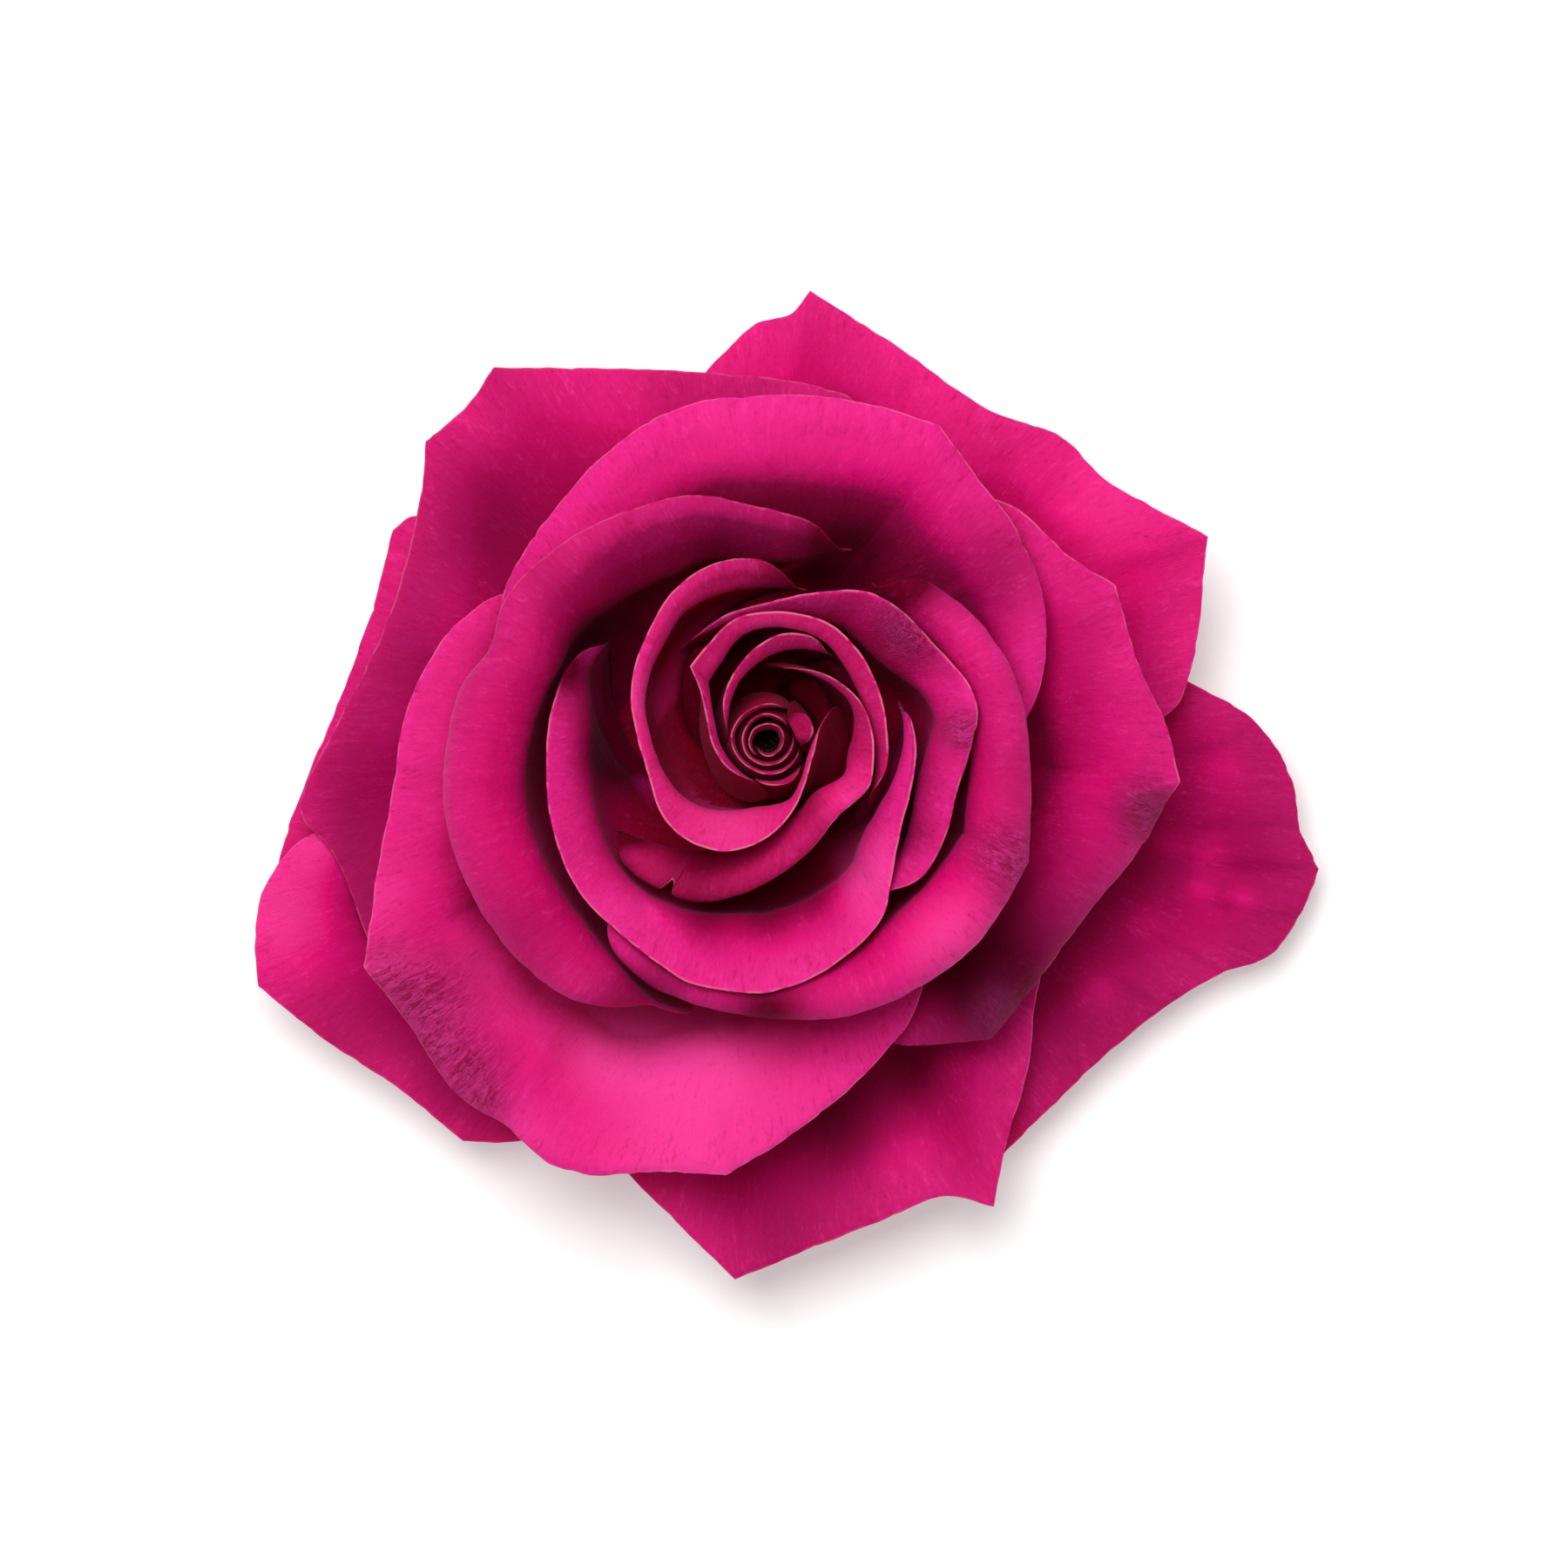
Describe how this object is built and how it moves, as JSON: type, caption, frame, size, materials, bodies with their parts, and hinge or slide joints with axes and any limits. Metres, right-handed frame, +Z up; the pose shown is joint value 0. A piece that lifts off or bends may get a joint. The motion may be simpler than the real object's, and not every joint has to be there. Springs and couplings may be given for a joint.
{
  "type": "rose",
  "caption": "Open rose head with a tight spiral heart inside cupped, rolled-back petals and wide pointed guard petals, lying face up on its turned-back sepals.",
  "frame": {"origin": "under the middle of the flower, on the surface that it rests on", "axes": "+Z up, out of the bloom; +X and +Y along the surface, +Y away from a viewer who looks at it from its lower side"},
  "size_m": [0.117, 0.108, 0.0452],
  "materials": {
    "petal_centre": "soft velvety",
    "petal_inner": "soft velvety",
    "petal_outer": "soft velvety",
    "sepal": "matt, downy",
    "hip": "satin",
    "stamen": "matt",
    "style": "matt"
  },
  "bodies": {
    "root": {"bud_petal_1": "petal_centre", "bud_petal_2": "petal_centre", "bud_petal_3": "petal_centre", "bud_petal_4": "petal_centre", "bud_petal_5": "petal_centre", "heart_petal_top": "petal_centre", "heart_petal_left": "petal_centre", "heart_petal_notched": "petal_centre", "heart_petal_folded": "petal_centre", "inner_petal_right": "petal_inner", "inner_petal_bowl": "petal_inner", "cup_petal_right": "petal_inner", "cup_petal_left": "petal_inner", "second_petal_top": "petal_outer", "second_petal_left": "petal_outer", "second_petal_right": "petal_outer", "guard_petal_upper_left": "petal_outer", "guard_petal_bottom": "petal_outer", "guard_petal_upper_right": "petal_outer", "guard_petal_lower_left": "petal_outer", "guard_petal_right": "petal_outer", "guard_petal_left": "petal_outer", "sepal_1": "sepal", "sepal_2": "sepal", "sepal_3": "sepal", "sepal_4": "sepal", "sepal_5": "sepal", "hip": "hip", "stamens": "stamen", "styles": "style"}
  },
  "joints": []
}
